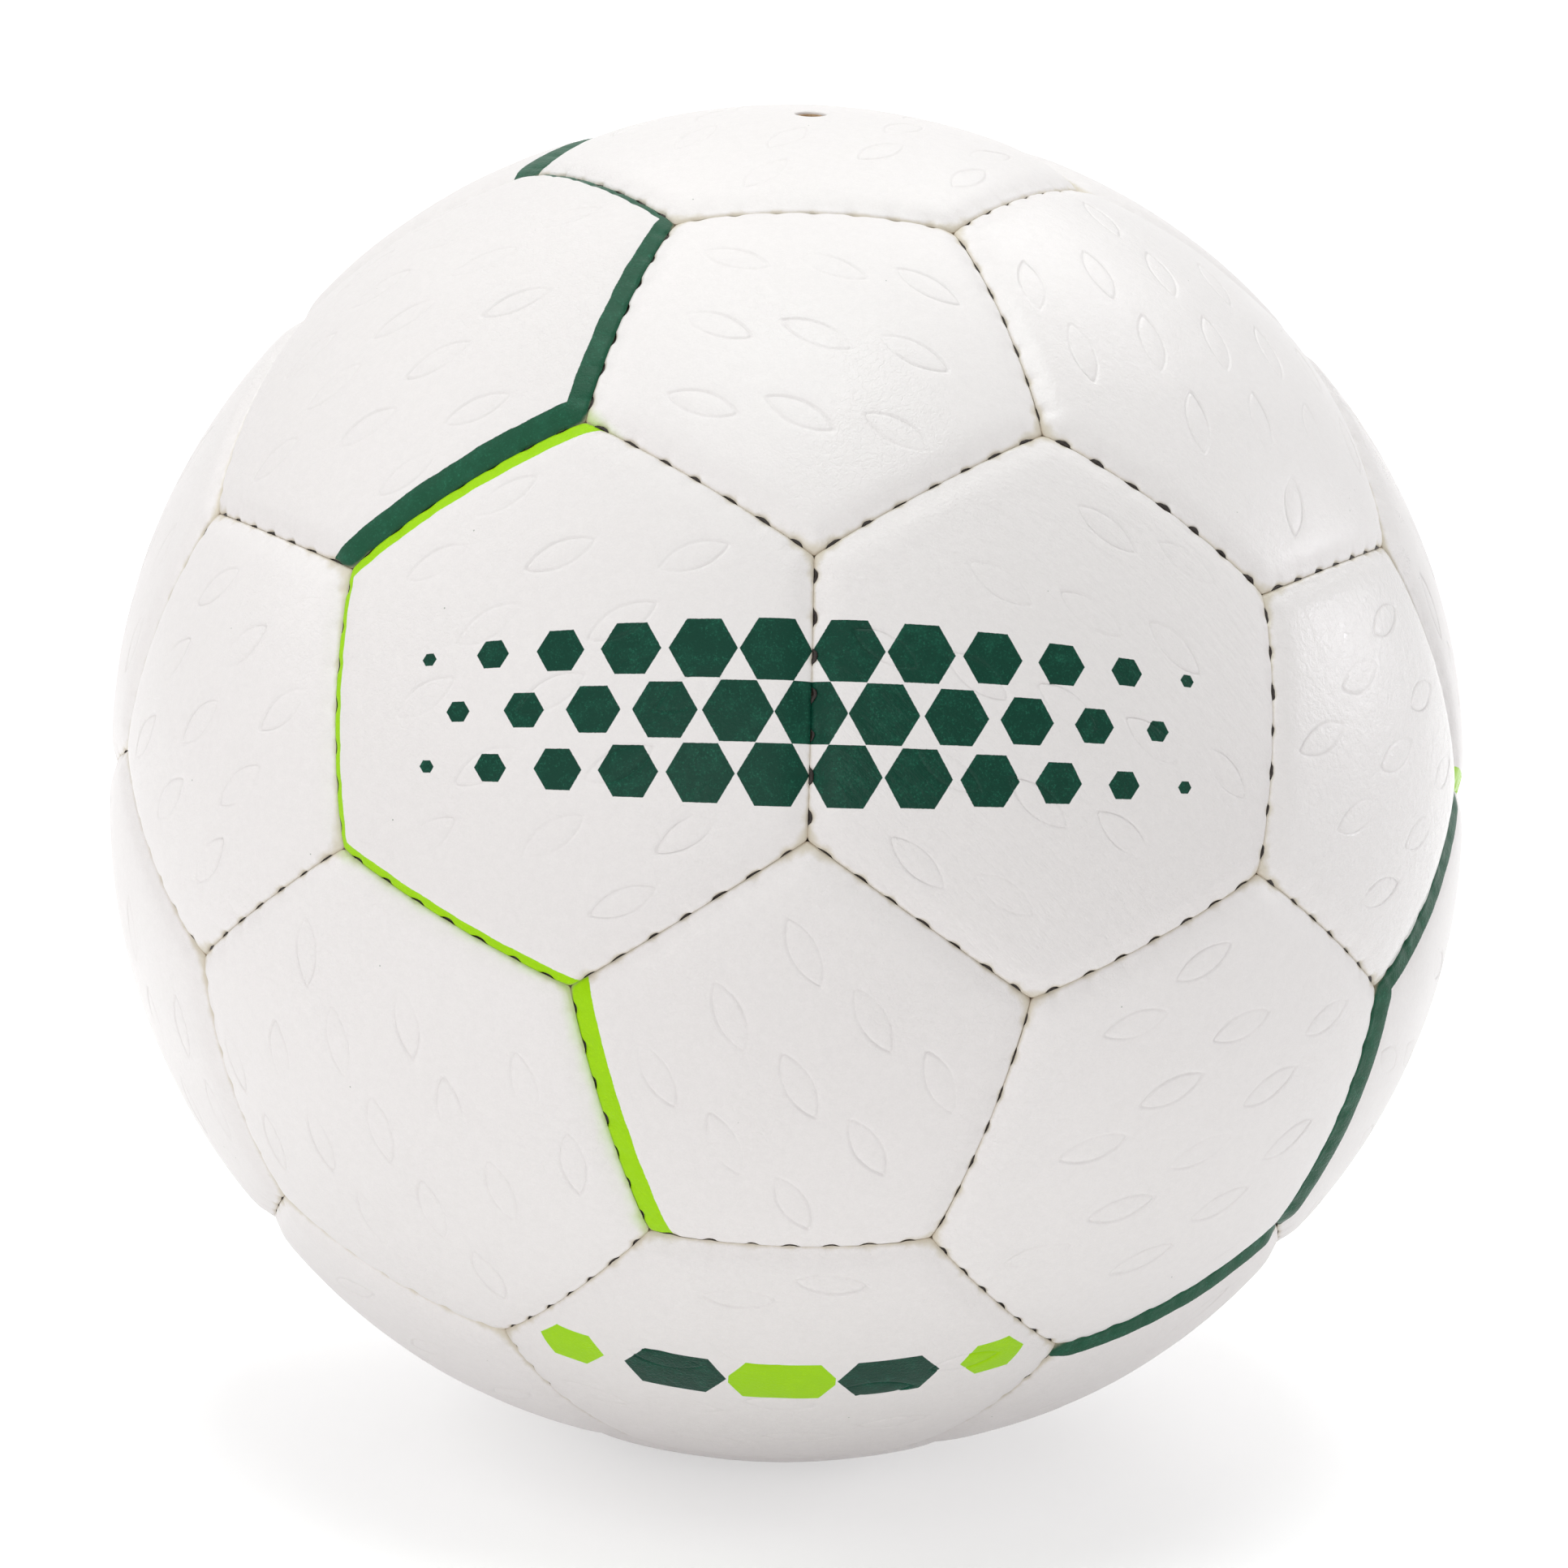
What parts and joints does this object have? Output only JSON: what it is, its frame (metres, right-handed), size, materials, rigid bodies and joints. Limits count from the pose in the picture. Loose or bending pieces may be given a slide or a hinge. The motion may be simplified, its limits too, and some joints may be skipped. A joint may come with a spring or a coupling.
{
  "type": "handball",
  "caption": "Hand-stitched ball of hexagon and pentagon panels that turn in at laced seams, over a bladder with a needle valve.",
  "frame": {"origin": "centre of the ball", "axes": "+Z out through the valve, along the axis of the panel that carries it; -Y towards the ball's front, where the seam between two hexagons stands upright above the middle"},
  "size_m": [0.1866, 0.1872, 0.1878],
  "materials": {
    "panel_skin": "fine-grained coated skin with a soft sheen",
    "backing_cloth": "layers of woven cloth",
    "waxed_thread": "waxed and twisted",
    "bladder_rubber": "matte",
    "valve_rubber": "matte",
    "plug_rubber": "matte, soft",
    "patch_cloth": "woven"
  },
  "bodies": {
    "root": {"valve_panel": "panel_skin", "upper_hexagon_1": "panel_skin", "upper_hexagon_2": "panel_skin", "upper_hexagon_3": "panel_skin", "upper_belt_hexagon_1": "panel_skin", "upper_belt_hexagon_2": "panel_skin", "upper_belt_hexagon_3": "panel_skin", "upper_belt_hexagon_4": "panel_skin", "upper_belt_hexagon_5": "panel_skin", "upper_belt_hexagon_6": "panel_skin", "lower_belt_hexagon_1": "panel_skin", "lower_belt_hexagon_2": "panel_skin", "lower_belt_hexagon_3": "panel_skin", "lower_belt_hexagon_4": "panel_skin", "lower_belt_hexagon_5": "panel_skin", "lower_belt_hexagon_6": "panel_skin", "lower_hexagon_1": "panel_skin", "lower_hexagon_2": "panel_skin", "lower_hexagon_3": "panel_skin", "base_hexagon": "panel_skin", "upper_pentagon_1": "panel_skin", "upper_pentagon_2": "panel_skin", "upper_pentagon_3": "panel_skin", "upper_belt_pentagon_1": "panel_skin", "upper_belt_pentagon_2": "panel_skin", "upper_belt_pentagon_3": "panel_skin", "lower_belt_pentagon_1": "panel_skin", "lower_belt_pentagon_2": "panel_skin", "lower_belt_pentagon_3": "panel_skin", "lower_pentagon_1": "panel_skin", "lower_pentagon_2": "panel_skin", "lower_pentagon_3": "panel_skin", "hexagon_backings": "backing_cloth", "pentagon_backings": "backing_cloth", "hexagon_seam_threads": "waxed_thread", "pentagon_seam_threads": "waxed_thread", "bladder": "bladder_rubber", "valve_body": "valve_rubber", "valve_plug": "plug_rubber", "valve_patch": "patch_cloth"}
  },
  "joints": []
}
